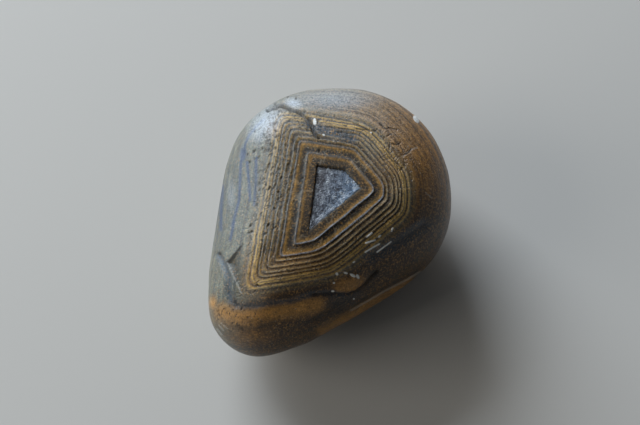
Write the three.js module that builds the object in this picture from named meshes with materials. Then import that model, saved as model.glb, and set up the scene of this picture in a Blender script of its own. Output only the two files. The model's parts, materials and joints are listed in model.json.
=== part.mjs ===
// A water-worn, waxy-polished banded agate pebble, in millimetres with +Z up.
// It rests on a worn flat underneath. Its banded face looks up and a little towards -Y:
// nested five-sided bands step down, like the seats of a theatre, to a kite-shaped pocket
// whose floor is covered with small quartz crystals.
import * as THREE from 'three';

const radians = THREE.MathUtils.degToRad;

// The worn body, measured from the stone's middle, which lies at the height of its waist
const RISE = 14.4; // waist to crown
const DROP = 12.4; // waist to the resting flat
const ROUND_DROP = 13.0; // how deep the underside would reach without its worn flat
const UPPER_FULLNESS = 2.25; // 2 is an ellipse, more is boxier
const LOWER_FULLNESS = 2.2;
// Seen from above: distance from the middle to the waist, every 15 degrees from +X towards +Y.
// The stone is broad at the back and right, and runs to a blunt nose at the front left.
const PLAN_RADII = [
  20.0, 21.2, 22.6, 24.0, 25.0, 25.3, // right to back
  24.9, 24.7, 23.8, 22.3, 20.4, 19.1, // back to left
  19.0, 20.2, 23.0, 26.8, 27.0, 22.4, // left, round the nose
  18.5, 16.5, 15.6, 15.8, 16.9, 18.5, // front to right
];

// The face plane, on which the bands are laid out: u runs right, v runs up the face.
// It leans back from upright, so the straight line out of it leans forward.
const FACE_LEAN = radians(30);
const FACE_RIGHT = new THREE.Vector3(1, 0, 0);
const FACE_UP = new THREE.Vector3(0, Math.cos(FACE_LEAN), Math.sin(FACE_LEAN));
const FACE_OUT = new THREE.Vector3(0, -Math.sin(FACE_LEAN), Math.cos(FACE_LEAN));

// The kite-shaped pocket and the middle from which the bands spread, as [u, v]
const KITE_TOP_LEFT = [-2.35, 10.43];
const KITE_TOP_RIGHT = [2.54, 9.67];
const KITE_RIGHT = [5.29, 6.32];
const KITE_FOOT = [-3.73, -1.12];
const BAND_MIDDLE = [0.6, 6.3];
// Each side of the pocket moves outwards as the bands grow. growth is how fast, beside the left
// side; turn is how much faster it moves for each millimetre further down the face.
// The right and bottom sides start just outside the pocket's corners and blunt them.
const SIDES = {
  left: { from: KITE_FOOT, to: KITE_TOP_LEFT, growth: 0.97, turn: 0.012 },
  top: { from: KITE_TOP_LEFT, to: KITE_TOP_RIGHT, growth: 0.89, turn: 0 },
  slope: { from: KITE_TOP_RIGHT, to: KITE_RIGHT, growth: 0.87, turn: 0 },
  right: { through: [5.7, 6.6], facing: radians(0), growth: 0.88, turn: 0 },
  lower: { from: KITE_RIGHT, to: KITE_FOOT, growth: 1.02, turn: 0 },
  bottom: { through: KITE_FOOT, facing: radians(-81), growth: 0.93, turn: 0 },
};
const SIDE_ORDER = ['left', 'top', 'slope', 'right', 'lower', 'bottom'];
const SIDE_STEPS = { left: 24, top: 14, slope: 12, right: 6, lower: 20, bottom: 12 };
const LEAST_SIDE = radians(4); // narrowest angle that a side takes up
const TURN_ENDS = 3.5; // sides turn only on the innermost bands
const SHARP_CORNER = 36; // near the pocket the corners are sharp
const BLUNT_CORNER = 16; // by the outermost band they are rounded

// The steps: [distance out from the pocket's edge, level beside the smooth worn body].
// Each band is a tread that climbs outwards to a raised rib, then drops sharply behind it.
const POCKET_FLOOR = [-0.1, -2.2];
const STEPS = [
  [0.0, -1.0], [0.95, -0.95], [1.35, -0.84], [1.7, -0.56],
  [2.0, -0.8], [2.75, -0.76], [3.15, -0.62], [3.5, -0.36],
  [3.75, -0.56], [4.25, -0.28], [4.6, -0.46], [5.1, -0.2], [5.5, -0.4],
  [5.85, -0.12], [6.15, -0.3], [6.5, -0.06], [6.78, -0.25],
  [7.05, -0.02], [7.4, 0.03], [7.8, -0.16], [8.2, 0.04], [8.75, -0.1],
];
const LAST_BAND = 9.7; // from here on the surface is the worn body
const OUTER_RINGS = 21; // from the last band round the flank to the resting flat
const FLAT_SHARE = 0.97; // the last ring lies just inside the edge of the flat

// Dips and swells of the worn surface, each an oval on the face plane, at [u, v].
// long and wide are half its size, tilt is the direction of its length, anticlockwise from u.
// A swell has a negative depth.
const CHIP_UNDER_FISSURE = { at: [-0.6, 15.4], long: 3.0, wide: 1.3, tilt: radians(-18), depth: 0.55 };
const CHIP_LOWER_LEFT = { at: [-14.8, -6.2], long: 2.6, wide: 1.5, tilt: radians(65), depth: 0.6 };
const GROOVE_LOWER_LEFT = { at: [-16.2, -10.2], long: 3.2, wide: 0.8, tilt: radians(85), depth: 0.35 };
const LENS_LEFT = { at: [-14.3, 11.3], long: 2.2, wide: 0.7, tilt: radians(80), depth: 0.4 };
const HOLLOW_LEFT = { at: [-15.6, 4.5], long: 7.5, wide: 1.5, tilt: radians(88), depth: 0.3 };
const LOBE = { at: [2.3, -9.0], long: 3.6, wide: 1.5, tilt: radians(5), depth: -0.4 };
const NOTCH = { at: [2.6, -11.7], long: 3.8, wide: 0.8, tilt: radians(14), depth: 0.6 };
const DARK_HOLLOW = { at: [11.0, -5.8], long: 6.5, wide: 1.5, tilt: radians(32), depth: 0.45 };
const SHOULDER = { at: [-12.8, 14.2], long: 4.5, wide: 1.5, tilt: radians(52), depth: -0.3 };
const DIPS = [
  CHIP_UNDER_FISSURE, CHIP_LOWER_LEFT, GROOVE_LOWER_LEFT, LENS_LEFT, HOLLOW_LEFT,
  LOBE, NOTCH, DARK_HOLLOW, SHOULDER,
];
const WORN_FROM = -3; // dips are cut only this far round to the back of the face plane
// The open crack that runs down from the top left to the bands, as [u, v]
const FISSURE = [[-9.8, 19.6], [-8.1, 19.9], [-5.3, 18.7], [-3.2, 17.0], [-2.6, 15.2], [-1.9, 14.3]];
const FISSURE_DEPTH = 0.6;
const FISSURE_WIDTH = 0.7;

// The quartz crust on the pocket's floor: six-sided points that stand side by side
const CRUST_UNDERSIDE = -1.88;
const CRUST_VALLEYS = -1.5;
const CRUST_INSET = 0.42; // it stands clear of the pocket's walls
const CRYSTAL_WIDTH = 0.6; // across its corners
const CRYSTAL_HEIGHTS = [0.18, 0.4]; // valley to point, least and most
const CRYSTAL_SCATTER = 0.06; // how far a point stands from the middle of its foot
const CRYSTAL_ROWS = 16; // enough to reach past the pocket on every side

const STONE_COLOUR = 0x6e5a3c;
const QUARTZ_COLOUR = 0x8b939c;

// A repeatable stream of numbers from 0 to 1
function makeRandom(seed) {
  let state = seed;
  return () => {
    state = (state * 1664525 + 1013904223) % 4294967296;
    return state / 4294967296;
  };
}

// The waist's radius at any angle: a smooth closed curve through the named radii
function planRadius(angle) {
  const count = PLAN_RADII.length;
  const place = ((angle / (2 * Math.PI)) * count + count) % count;
  const first = Math.floor(place);
  const t = place - first;
  const [a, b, c, d] = [-1, 0, 1, 2].map((step) => PLAN_RADII[(first + step + count) % count]);
  const bend = 2 * a - 5 * b + 4 * c - d;
  return b + 0.5 * t * (c - a + t * (bend + t * (3 * (b - c) + d - a)));
}

// How far the worn body reaches from its middle along a unit direction
function bodyReach(direction) {
  const upper = direction.z > 0;
  const fullness = upper ? UPPER_FULLNESS : LOWER_FULLNESS;
  const sideways = Math.hypot(direction.x, direction.y) / planRadius(Math.atan2(direction.y, direction.x));
  const upright = Math.abs(direction.z) / (upper ? RISE : ROUND_DROP);
  const reach = (sideways ** fullness + upright ** fullness) ** (-1 / fullness);
  return -direction.z * reach > DROP ? -DROP / direction.z : reach;
}

// The point of the worn body that lies straight out from [u, v] on the face plane,
// found by halving the stretch in which the surface lies
const INSIDE = -12;
const OUTSIDE = 30;
const HALVINGS = 40;
function bodyPoint([u, v]) {
  const foot = FACE_RIGHT.clone().multiplyScalar(u).addScaledVector(FACE_UP, v);
  let near = INSIDE;
  let far = OUTSIDE;
  for (let round = 0; round < HALVINGS; round += 1) {
    const out = (near + far) / 2;
    const point = foot.clone().addScaledVector(FACE_OUT, out);
    const inside = point.length() < bodyReach(point.clone().normalize());
    if (inside) near = out;
    else far = out;
  }
  return foot.addScaledVector(FACE_OUT, near);
}

// A side's outward direction and its distance from the band middle, at the pocket's edge
function sideLine(side) {
  const start = side.from ?? side.through;
  const facing = side.from ? faceOf(side.from, side.to) : side.facing;
  const normal = [Math.cos(facing), Math.sin(facing)];
  const distance = (start[0] - BAND_MIDDLE[0]) * normal[0] + (start[1] - BAND_MIDDLE[1]) * normal[1];
  return { normal, distance, growth: side.growth, turn: side.turn };
}

// Going round the pocket clockwise, outwards is to the left
function faceOf(from, to) {
  return Math.atan2(to[0] - from[0], from[1] - to[1]);
}

const LINES = SIDE_ORDER.map((name) => sideLine(SIDES[name]));

// The line of a side after the bands have grown by an offset, as normal . point = distance
function grownLine(line, offset) {
  return {
    normal: [line.normal[0], line.normal[1] + Math.min(offset, TURN_ENDS) * line.turn],
    distance: line.distance + offset * line.growth,
  };
}

// Where two neighbouring sides meet, as an angle about the band middle
function cornerAngle(first, second) {
  const cross = first.normal[0] * second.normal[1] - first.normal[1] * second.normal[0];
  const u = (first.distance * second.normal[1] - second.distance * first.normal[1]) / cross;
  const v = (second.distance * first.normal[0] - first.distance * second.normal[0]) / cross;
  return Math.atan2(v, u);
}

// The angles at which a band is sampled: the same number on each side, whatever its size,
// so that every band has a vertex in each corner
function bandAngles(offset) {
  const grown = LINES.map((line) => grownLine(line, offset));
  const corners = grown.map((line, index) => cornerAngle(line, grown[(index + 1) % grown.length]));
  const turns = corners.map((corner, index) => {
    const previous = corners[(index + corners.length - 1) % corners.length];
    return Math.atan2(Math.sin(previous - corner), Math.cos(previous - corner));
  });
  turns.forEach((turn, index) => {
    const lack = LEAST_SIDE - turn;
    if (lack <= 0) return;
    const previous = (index + corners.length - 1) % corners.length;
    corners[previous] += lack / 2;
    corners[index] -= lack / 2;
  });
  return SIDE_ORDER.flatMap((name, index) => {
    const start = corners[(index + corners.length - 1) % corners.length];
    const full = Math.atan2(Math.sin(start - corners[index]), Math.cos(start - corners[index]));
    const sweep = full < 0 ? full + 2 * Math.PI : full;
    const steps = SIDE_STEPS[name];
    return Array.from({ length: steps }, (_, step) => start - (sweep * step) / steps);
  });
}

// Distance from the band middle to a band's edge at an angle, with its corners a little rounded
function bandRadius(angle, offset) {
  const share = THREE.MathUtils.clamp(offset / LAST_BAND, 0, 1);
  const sharpness = SHARP_CORNER * (BLUNT_CORNER / SHARP_CORNER) ** share;
  const crowd = LINES.map((line) => {
    const { normal, distance } = grownLine(line, offset);
    const towards = normal[0] * Math.cos(angle) + normal[1] * Math.sin(angle);
    return Math.max(towards / distance, 0) ** sharpness;
  });
  return crowd.reduce((sum, value) => sum + value, 0) ** (-1 / sharpness);
}

// A band's edge as [u, v] points
function bandOutline(offset) {
  return bandAngles(offset).map((angle) => {
    const radius = bandRadius(angle, offset);
    return [BAND_MIDDLE[0] + radius * Math.cos(angle), BAND_MIDDLE[1] + radius * Math.sin(angle)];
  });
}

// A soft-edged oval, 1 in its middle and 0 outside
function oval([u, v], { at, long, wide, tilt }) {
  const [du, dv] = [u - at[0], v - at[1]];
  const along = (du * Math.cos(tilt) + dv * Math.sin(tilt)) / long;
  const across = (dv * Math.cos(tilt) - du * Math.sin(tilt)) / wide;
  const apart = along * along + across * across;
  return apart < 1 ? (1 - apart) ** 2 : 0;
}

// How deep the fissure is cut at a point of the face
function fissureDepth([u, v]) {
  const point = new THREE.Vector3(u, v, 0);
  const nearest = new THREE.Vector3();
  let closest = Infinity;
  for (let index = 1; index < FISSURE.length; index += 1) {
    const ends = [FISSURE[index - 1], FISSURE[index]].map(([a, b]) => new THREE.Vector3(a, b, 0));
    new THREE.Line3(...ends).closestPointToPoint(point, true, nearest);
    closest = Math.min(closest, nearest.distanceTo(point));
  }
  return FISSURE_DEPTH * Math.max(0, 1 - closest / FISSURE_WIDTH);
}

// How far the worn surface lies below the smooth body, on the side that the face looks to
function wear(point) {
  const place = [point.dot(FACE_RIGHT), point.dot(FACE_UP)];
  if (point.dot(FACE_OUT) < WORN_FROM) return 0;
  const dips = DIPS.reduce((sum, dip) => sum + dip.depth * oval(place, dip), 0);
  return dips + fissureDepth(place);
}

// A point moved out from the stone's middle by a level, after wear
function atLevel(point, level) {
  const reach = point.length();
  return point.clone().multiplyScalar((reach + level - wear(point)) / reach);
}

// One ring of the stone for each step of the bands, from the pocket's floor outwards
function bandRings() {
  return [POCKET_FLOOR, ...STEPS].map(([offset, level]) =>
    bandOutline(offset).map((place) => atLevel(bodyPoint(place), level)));
}

// Rings from the last band round the flank to the resting flat, along great circles
function flankRings() {
  const starts = bandOutline(LAST_BAND).map((place) => bodyPoint(place));
  return Array.from({ length: OUTER_RINGS }, (_, ring) => starts.map((start) => {
    const bearing = Math.atan2(start.y, start.x);
    const flat = flatEdge(bearing);
    const from = start.clone().normalize();
    const axis = from.clone().cross(flat.clone().normalize()).normalize();
    const share = ring / (OUTER_RINGS - 1);
    const direction = from.clone().applyAxisAngle(axis, share * from.angleTo(flat));
    const point = direction.multiplyScalar(bodyReach(direction));
    return share === 1 ? flat : atLevel(point, 0);
  }));
}

// The edge of the resting flat at a bearing from the stone's middle
function flatEdge(bearing) {
  const fill = 1 - (DROP / ROUND_DROP) ** LOWER_FULLNESS;
  const radius = FLAT_SHARE * planRadius(bearing) * fill ** (1 / LOWER_FULLNESS);
  return new THREE.Vector3(radius * Math.cos(bearing), radius * Math.sin(bearing), -DROP);
}

// A closed skin over a stack of rings of equal length, with a point closing each end.
// The rings run clockwise seen from the first end.
function closedSkin(firstEnd, rings, lastEnd) {
  const points = [firstEnd, ...rings.flat(), lastEnd];
  const around = rings[0].length;
  const faces = [];
  const at = (ring, step) => 1 + ring * around + (step % around);
  const end = points.length - 1;
  for (let step = 0; step < around; step += 1) {
    faces.push(0, at(0, step + 1), at(0, step));
    for (let ring = 1; ring < rings.length; ring += 1) {
      faces.push(at(ring - 1, step), at(ring - 1, step + 1), at(ring, step + 1));
      faces.push(at(ring - 1, step), at(ring, step + 1), at(ring, step));
    }
    faces.push(end, at(rings.length - 1, step), at(rings.length - 1, step + 1));
  }
  const geometry = new THREE.BufferGeometry().setFromPoints(points);
  geometry.setIndex(faces);
  return geometry;
}

function pebbleGeometry() {
  const floorMiddle = atLevel(bodyPoint(BAND_MIDDLE), POCKET_FLOOR[1]);
  const flatMiddle = new THREE.Vector3(0, 0, -DROP);
  return closedSkin(floorMiddle, [...bandRings(), ...flankRings()], flatMiddle);
}

// Where the straight line from the band middle through a place leaves the crust, as [u, v]
function crustEdge([u, v]) {
  const angle = Math.atan2(v - BAND_MIDDLE[1], u - BAND_MIDDLE[0]);
  const radius = bandRadius(angle, -CRUST_INSET);
  return [BAND_MIDDLE[0] + radius * Math.cos(angle), BAND_MIDDLE[1] + radius * Math.sin(angle)];
}

// The feet of the crystals: the corners and middles of a sheet of six-sided cells.
// Cells are kept where their whole foot lies on the pocket's floor.
function crystalCells() {
  const side = CRYSTAL_WIDTH / 2;
  const cells = [];
  for (let row = -CRYSTAL_ROWS; row <= CRYSTAL_ROWS; row += 1) {
    for (let column = -CRYSTAL_ROWS; column <= CRYSTAL_ROWS; column += 1) {
      const middle = [
        BAND_MIDDLE[0] + 1.5 * side * column,
        BAND_MIDDLE[1] + Math.sqrt(3) * side * (row + (column % 2 === 0 ? 0 : 0.5)),
      ];
      const corners = Array.from({ length: 6 }, (_, corner) => {
        const angle = (corner * Math.PI) / 3;
        return [middle[0] + side * Math.cos(angle), middle[1] + side * Math.sin(angle)];
      });
      const onFloor = corners.every((corner) => fromBandMiddle(corner) < fromBandMiddle(crustEdge(corner)));
      if (onFloor) cells.push({ middle, corners });
    }
  }
  return cells;
}

function fromBandMiddle([u, v]) {
  return Math.hypot(u - BAND_MIDDLE[0], v - BAND_MIDDLE[1]);
}

// The crust: points on top, a plain underside, and a wall round the edge of the sheet
function crustGeometry() {
  const random = makeRandom(7);
  const between = (least, most) => least + (most - least) * random();
  const points = [];
  const faces = [];
  const feet = new Map();
  const rims = new Map();
  const add = (place, level) => points.push(atLevel(bodyPoint(place), level)) - 1;
  const footAt = (place) => {
    const key = place.map((value) => value.toFixed(3)).join(' ');
    if (!feet.has(key)) feet.set(key, { top: add(place, CRUST_VALLEYS), under: add(place, CRUST_UNDERSIDE) });
    return feet.get(key);
  };
  for (const { middle, corners } of crystalCells()) {
    const tip = middle.map((value) => value + between(-CRYSTAL_SCATTER, CRYSTAL_SCATTER));
    const apex = add(tip, CRUST_VALLEYS + between(...CRYSTAL_HEIGHTS));
    const base = add(middle, CRUST_UNDERSIDE);
    const ring = corners.map(footAt);
    ring.forEach((foot, index) => {
      const next = ring[(index + 1) % ring.length];
      faces.push(apex, foot.top, next.top, base, next.under, foot.under);
      const other = `${next.top} ${foot.top}`;
      if (rims.has(other)) rims.delete(other);
      else rims.set(`${foot.top} ${next.top}`, [foot, next]);
    });
  }
  for (const [foot, next] of rims.values()) {
    faces.push(foot.top, foot.under, next.under, foot.top, next.under, next.top);
  }
  const geometry = new THREE.BufferGeometry().setFromPoints(points);
  geometry.setIndex(faces);
  return geometry;
}

function named(name, geometry, colour, roughness) {
  const material = new THREE.MeshStandardMaterial({ color: colour, roughness, metalness: 0 });
  const mesh = new THREE.Mesh(geometry, material);
  mesh.name = name;
  return mesh;
}

// The stone's middle, above the middle of its own footprint on the surface it rests on
const pebble = named('agate_pebble', pebbleGeometry(), STONE_COLOUR, 0.42);
const crust = named('quartz_crust', crustGeometry(), QUARTZ_COLOUR, 0.25);
pebble.geometry.computeBoundingBox();
const footprint = pebble.geometry.boundingBox.getCenter(new THREE.Vector3());

const agate = new THREE.Group();
agate.add(pebble, crust);
agate.position.set(-footprint.x, -footprint.y, DROP);

export default agate;
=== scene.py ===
# %% [markdown]
# # A polished agate, dressed in Blender
# The object is one water-worn pebble of banded agate with a waxy polish. Its bands step down
# to a small kite-shaped pocket, and the pocket's floor is a crust of sugary quartz.
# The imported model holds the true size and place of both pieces, so this script starts from it.
# Lengths below are in millimetres, as a person would measure the stone, and are turned to
# metres only where Blender needs them.

import json
import math

import bpy
import numpy as np
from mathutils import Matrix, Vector, noise

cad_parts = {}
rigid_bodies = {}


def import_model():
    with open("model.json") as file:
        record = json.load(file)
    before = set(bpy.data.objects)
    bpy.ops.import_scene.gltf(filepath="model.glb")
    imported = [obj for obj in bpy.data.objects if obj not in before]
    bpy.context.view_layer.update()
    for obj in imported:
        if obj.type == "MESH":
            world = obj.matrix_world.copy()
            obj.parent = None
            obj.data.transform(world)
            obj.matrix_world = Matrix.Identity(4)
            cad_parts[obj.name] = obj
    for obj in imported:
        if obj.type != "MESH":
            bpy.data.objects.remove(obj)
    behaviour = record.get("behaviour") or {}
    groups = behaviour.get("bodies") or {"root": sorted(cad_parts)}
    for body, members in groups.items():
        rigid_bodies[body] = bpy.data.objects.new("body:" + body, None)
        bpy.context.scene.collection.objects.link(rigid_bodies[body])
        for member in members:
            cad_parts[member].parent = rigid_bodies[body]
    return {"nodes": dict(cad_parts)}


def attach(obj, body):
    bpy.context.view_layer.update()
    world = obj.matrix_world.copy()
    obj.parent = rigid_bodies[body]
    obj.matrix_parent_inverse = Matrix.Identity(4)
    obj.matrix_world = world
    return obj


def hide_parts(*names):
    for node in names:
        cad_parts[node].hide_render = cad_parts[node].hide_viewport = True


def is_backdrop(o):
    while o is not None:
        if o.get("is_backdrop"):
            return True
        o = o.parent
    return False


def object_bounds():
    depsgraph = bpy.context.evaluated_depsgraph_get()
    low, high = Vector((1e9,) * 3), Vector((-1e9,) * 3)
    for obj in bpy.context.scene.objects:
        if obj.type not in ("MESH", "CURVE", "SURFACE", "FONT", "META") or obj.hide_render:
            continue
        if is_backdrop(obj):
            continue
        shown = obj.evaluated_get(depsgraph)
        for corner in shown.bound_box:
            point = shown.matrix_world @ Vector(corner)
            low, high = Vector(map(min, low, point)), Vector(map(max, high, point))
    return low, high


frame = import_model()
cad_box = [list(corner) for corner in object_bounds()]
MM = 0.001
print("nodes:", sorted(frame["nodes"]), "box in mm:", [[round(v / MM, 1) for v in c] for c in cad_box])

# %% [markdown]
# ## The worn body
# A pebble has no flat faces to measure from. It is easiest to describe from its middle: how far
# the waist is in each direction, how high the crown rises and how deep the flat underside lies.
# With these few sizes, any straight line out of the middle meets the smooth worn surface at one
# known point. Every later step moves a point in or out along such a line.

# %% The stone's own sizes
RISE = 14.4  # waist to crown
DROP = 12.4  # waist to the flat that it rests on
ROUND_DROP = 13.0  # how deep the underside would reach without its flat
UPPER_FULLNESS = 2.25  # 2 is an ellipse, more is boxier
LOWER_FULLNESS = 2.2
# The waist every 15 degrees, from the right round the back
WAIST_RADII = np.array([
    20.0, 21.2, 22.6, 24.0, 25.0, 25.3, 24.9, 24.7, 23.8, 22.3, 20.4, 19.1,
    19.0, 20.2, 23.0, 26.8, 27.0, 22.4, 18.5, 16.5, 15.6, 15.8, 16.9, 18.5,
])


def waist_radius(angle):
    """The waist's radius at each angle: a smooth closed curve through the radii."""
    count = len(WAIST_RADII)
    place = (angle / (2 * math.pi) * count) % count
    first = np.floor(place).astype(int)
    t = place - first
    a, b, c, d = (WAIST_RADII[(first + step) % count] for step in (-1, 0, 1, 2))
    bend = 2 * a - 5 * b + 4 * c - d
    return b + 0.5 * t * (c - a + t * (bend + t * (3 * (b - c) + d - a)))


def body_reach(way):
    """How far the worn body reaches from its middle along unit directions."""
    upper = way[:, 2] > 0
    fullness = np.where(upper, UPPER_FULLNESS, LOWER_FULLNESS)
    height = np.where(upper, RISE, ROUND_DROP)
    sideways = np.hypot(way[:, 0], way[:, 1]) / waist_radius(np.arctan2(way[:, 1], way[:, 0]))
    upright = np.abs(way[:, 2]) / height
    reach = (sideways ** fullness + upright ** fullness) ** (-1 / fullness)
    on_flat = -way[:, 2] * reach > DROP
    return np.where(on_flat, DROP / np.maximum(-way[:, 2], 1e-6), reach)


def unit(vectors):
    return vectors / np.linalg.norm(vectors, axis=-1, keepdims=True)


turns = np.linspace(0, 2 * math.pi, 3600, endpoint=False)
waist = waist_radius(turns)[:, None] * np.stack([np.cos(turns), np.sin(turns)], axis=1)
waist_middle = (waist.min(axis=0) + waist.max(axis=0)) / 2
# The model's origin lies under the middle of its own box
MIDDLE = np.array([-waist_middle[0], -waist_middle[1], DROP])
print("the stone's middle in mm:", MIDDLE.round(2))

# %% [markdown]
# ## The camera
# The photograph looks down on the stone at about 60 degrees, through a long lens from close by.
# The camera is placed first, because the marks on the stone are named by where they show in the
# picture: a place in the picture and the stone's surface together give one point on the stone.

# %% Camera at the photograph's viewing angle
PICTURE = (640, 425)
LENS = 100.5
SENSOR = 36.0
CAMERA_DISTANCE = 300.0  # close, as the blurred board says
CAMERA_ELEVATION = math.radians(60)
MIDDLE_IN_PICTURE = (330.0, 224.0)
PIXELS_PER_RADIAN = PICTURE[0] * LENS / SENSOR

picture_right = np.array([1.0, 0.0, 0.0])
picture_up = np.array([0.0, math.sin(CAMERA_ELEVATION), math.cos(CAMERA_ELEVATION)])
picture_out = np.array([0.0, -math.cos(CAMERA_ELEVATION), math.sin(CAMERA_ELEVATION)])
aside = (MIDDLE_IN_PICTURE[0] - PICTURE[0] / 2) / PIXELS_PER_RADIAN * CAMERA_DISTANCE
below = (MIDDLE_IN_PICTURE[1] - PICTURE[1] / 2) / PIXELS_PER_RADIAN * CAMERA_DISTANCE
camera_place = MIDDLE - aside * picture_right + below * picture_up + CAMERA_DISTANCE * picture_out

bpy.ops.object.camera_add(
    location=tuple(camera_place * MM), rotation=(math.pi / 2 - CAMERA_ELEVATION, 0, 0))
camera = bpy.context.active_object
camera.name = "photo_camera"
camera.data.lens = LENS
camera.data.sensor_width = SENSOR
camera.data.clip_start = 0.01
bpy.context.scene.camera = camera


def in_picture(points):
    """Where points, in millimetres from the stone's middle, show in the photograph's frame."""
    from_camera = points + MIDDLE - camera_place
    away = -from_camera @ picture_out
    x = PICTURE[0] / 2 + PIXELS_PER_RADIAN * (from_camera @ picture_right) / away
    y = PICTURE[1] / 2 - PIXELS_PER_RADIAN * (from_camera @ picture_up) / away
    return np.stack([x, y], axis=1)


print("camera in mm:", camera_place.round(1))

# %% [markdown]
# ## The bands
# Agate grows inwards, layer on layer, from the wall of a hollow. Each layer has flat sides that
# meet in corners, like the plan of a fort. On the stone they show as nested five-sided rings.
# One number says where a point lies in this pattern: how far the rings had to grow outwards from
# the pocket's edge to reach it. Both the ledges and the colours follow that number.

# %% The pocket and the six straight sides of its bands
KITE_TOP_LEFT = (-2.35, 10.43)
KITE_TOP_RIGHT = (2.54, 9.67)
KITE_RIGHT = (5.29, 6.32)
KITE_FOOT = (-3.73, -1.12)
BAND_MIDDLE = np.array([0.6, 6.3])
LAST_BAND = 9.7  # from here on the surface is the worn body
TURN_ENDS = 3.5  # only the innermost rings turn as they grow
SHARP_CORNER = 36.0  # corners next to the pocket
BLUNT_CORNER = 16.0  # corners of the last ring
SEARCH_START = -1.2  # an offset well inside the pocket
RING_HALVINGS = 26


def facing(start, end):
    """Going round the pocket clockwise, outwards is to the left."""
    return math.atan2(end[0] - start[0], start[1] - end[1])


# Each side: a point on it, the way it faces, how fast it grows, how much faster further down
SIDES = [
    (KITE_FOOT, facing(KITE_FOOT, KITE_TOP_LEFT), 0.97, 0.012),
    (KITE_TOP_LEFT, facing(KITE_TOP_LEFT, KITE_TOP_RIGHT), 0.89, 0.0),
    (KITE_TOP_RIGHT, facing(KITE_TOP_RIGHT, KITE_RIGHT), 0.87, 0.0),
    ((5.7, 6.6), 0.0, 0.88, 0.0),
    (KITE_RIGHT, facing(KITE_RIGHT, KITE_FOOT), 1.02, 0.0),
    (KITE_FOOT, math.radians(-81), 0.93, 0.0),
]


def band_radius(angle, offset):
    """Distance from the band middle to the ring that has grown by an offset."""
    share = np.clip(offset / LAST_BAND, 0, 1)
    sharpness = SHARP_CORNER * (BLUNT_CORNER / SHARP_CORNER) ** share
    crowd = 0
    for start, way, growth, turn in SIDES:
        normal = (math.cos(way), math.sin(way) + np.minimum(offset, TURN_ENDS) * turn)
        start_distance = (np.array(start) - BAND_MIDDLE) @ np.array([math.cos(way), math.sin(way)])
        distance = start_distance + offset * growth
        towards = normal[0] * np.cos(angle) + normal[1] * np.sin(angle)
        crowd = crowd + np.maximum(towards / distance, 0) ** sharpness
    return crowd ** (-1 / sharpness)


def band_offset(place):
    """The offset of the ring through each place on the face, by halving the search range."""
    away = place - BAND_MIDDLE
    angle = np.arctan2(away[:, 1], away[:, 0])
    radius = np.hypot(away[:, 0], away[:, 1])
    low = np.full(len(place), SEARCH_START)
    high = np.full(len(place), 2 * LAST_BAND)
    for _ in range(RING_HALVINGS):
        guess = (low + high) / 2
        inside = band_radius(angle, guess) < radius
        low = np.where(inside, guess, low)
        high = np.where(inside, high, guess)
    return low


print("the pocket's edge is", round(float(band_radius(np.array([math.pi]), np.array([0.0]))[0]), 2),
      "mm left of the band middle")

# %% [markdown]
# ## A fine copy of the stone
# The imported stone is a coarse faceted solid. A copy of it is merged, its triangles are joined to
# quads, and every quad is cut in four. Then only faces that look towards the camera and still
# have long edges are cut again, so fine detail gets its points and the underside stays light.

# %% Copy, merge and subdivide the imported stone
CUT_ROUNDS = 2
LONGEST_EDGE = 0.32
QUAD_LIMIT = math.radians(70)  # how far two triangles may bend and still make one quad
JUST_PAST_THE_EDGE = -0.15  # how far a face may turn from the camera and still be cut


def select_only(thing):
    bpy.ops.object.select_all(action="DESELECT")
    thing.select_set(True)
    bpy.context.view_layer.objects.active = thing


select_only(frame["nodes"]["agate_pebble"])
bpy.ops.object.duplicate()
stone = bpy.context.active_object
bpy.ops.object.parent_clear(type="CLEAR_KEEP_TRANSFORM")
stone.name = "polished_stone"
bpy.ops.mesh.customdata_custom_splitnormals_clear()
bpy.ops.object.mode_set(mode="EDIT")
bpy.ops.mesh.select_mode(type="FACE")
bpy.ops.mesh.select_all(action="SELECT")
bpy.ops.mesh.remove_doubles(threshold=0.000001)
bpy.ops.mesh.tris_convert_to_quads(face_threshold=QUAD_LIMIT, shape_threshold=QUAD_LIMIT)
bpy.ops.mesh.subdivide(number_cuts=1)
for _ in range(CUT_ROUNDS):
    bpy.ops.mesh.select_all(action="DESELECT")
    bpy.ops.object.mode_set(mode="OBJECT")
    place = [np.array(vertex.co) for vertex in stone.data.vertices]
    for face in stone.data.polygons:
        corners = [place[index] for index in face.vertices]
        longest = max(np.linalg.norm(a - b) for a, b in zip(corners, corners[1:] + corners[:1]))
        turned = np.array(face.normal) @ picture_out
        face.select = bool(turned > JUST_PAST_THE_EDGE and longest > LONGEST_EDGE * MM)
    bpy.ops.object.mode_set(mode="EDIT")
    bpy.ops.mesh.subdivide(number_cuts=1)
bpy.ops.object.mode_set(mode="OBJECT")
bpy.ops.object.shade_smooth()
print("fine stone:", len(stone.data.vertices), "points,", len(stone.data.polygons), "faces,",
      sum(len(face.vertices) - 2 for face in stone.data.polygons), "triangles")

# %% [markdown]
# ## Where each point lies in the banding
# Every point's direction from the middle gives its place on the smooth body. On the face that
# place is looked up in the rings. Past the last ring the count goes on by arc length, so the
# bands run on round the flank and close on the underside, as shells do in a real nodule.

# %% Move points between the mesh and the stone's own millimetres
def read_points(thing):
    points = np.empty(len(thing.data.vertices) * 3)
    thing.data.vertices.foreach_get("co", points)
    return points.reshape(-1, 3) / MM - MIDDLE


def write_points(thing, points):
    thing.data.vertices.foreach_set("co", ((points + MIDDLE) * MM).ravel())
    thing.data.update()


def on_face(points):
    return np.stack([points @ picture_right, points @ picture_up], axis=1)


INSIDE = -12.0
OUTSIDE = 30.0
BODY_HALVINGS = 30


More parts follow.
